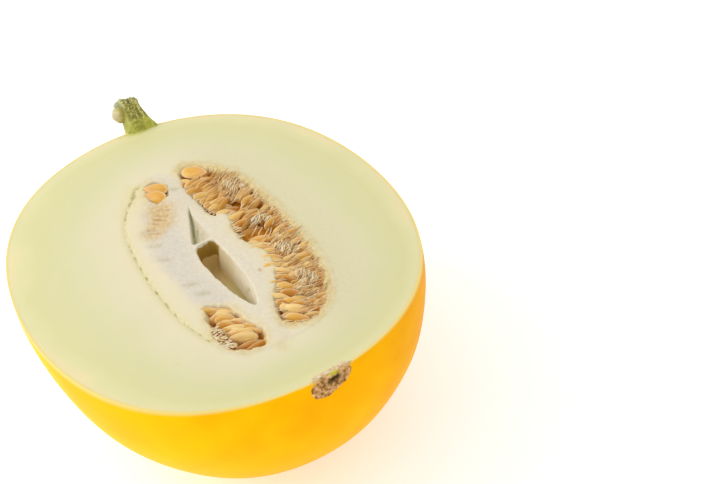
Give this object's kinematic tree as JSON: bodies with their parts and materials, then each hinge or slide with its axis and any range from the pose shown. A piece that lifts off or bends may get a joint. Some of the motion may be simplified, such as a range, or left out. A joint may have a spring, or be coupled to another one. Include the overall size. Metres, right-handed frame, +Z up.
{
  "type": "half honeydew melon",
  "caption": "Honeydew melon cut in half lengthwise, lying on its rind with the cut face up: pale green flesh, seed pulp with its seeds, stem stub and blossom scar.",
  "frame": {"origin": "middle of the small flat spot under the rind that the half rests on", "axes": "+Z up, square to the flat cut face; +X along the melon's length, from the stem end to the blossom end; +Y across it, to the side with the long row of seeds"},
  "size_m": [0.2244, 0.16, 0.0955],
  "materials": {
    "flesh": "moist translucent cream-green flesh under a waxy deep yellow rind",
    "rind": "smooth waxy deep yellow rind",
    "pulp": "moist white spongy pulp",
    "seed": "wet golden seed coat",
    "stem": "dry ridged olive-green stalk",
    "scar": "dry corky brown crust"
  },
  "bodies": {
    "root": {"melon_half": "flesh", "seed_pulp": "pulp", "stem": "stem", "blossom_scar": "scar", "seed_01": "seed", "seed_02": "seed", "seed_03": "seed", "seed_04": "seed", "seed_05": "seed", "seed_06": "seed", "seed_07": "seed", "seed_08": "seed", "seed_09": "seed", "seed_10": "seed", "seed_11": "seed", "seed_12": "seed", "seed_13": "seed", "seed_14": "seed", "seed_15": "seed", "seed_16": "seed", "seed_17": "seed", "seed_18": "seed", "seed_19": "seed", "seed_20": "seed", "seed_21": "seed", "seed_22": "seed", "seed_23": "seed", "seed_24": "seed", "seed_25": "seed", "seed_26": "seed", "seed_27": "seed", "seed_28": "seed", "seed_29": "seed", "seed_30": "seed", "seed_31": "seed", "seed_32": "seed", "seed_33": "seed", "seed_34": "seed", "seed_35": "seed", "seed_36": "seed", "seed_37": "seed", "seed_38": "seed", "seed_39": "seed", "seed_40": "seed", "seed_41": "seed", "seed_42": "seed", "seed_43": "seed", "seed_44": "seed", "seed_45": "seed", "seed_46": "seed", "seed_47": "seed", "seed_48": "seed", "seed_49": "seed", "seed_50": "seed", "seed_51": "seed", "seed_52": "seed", "seed_53": "seed"}
  },
  "joints": []
}
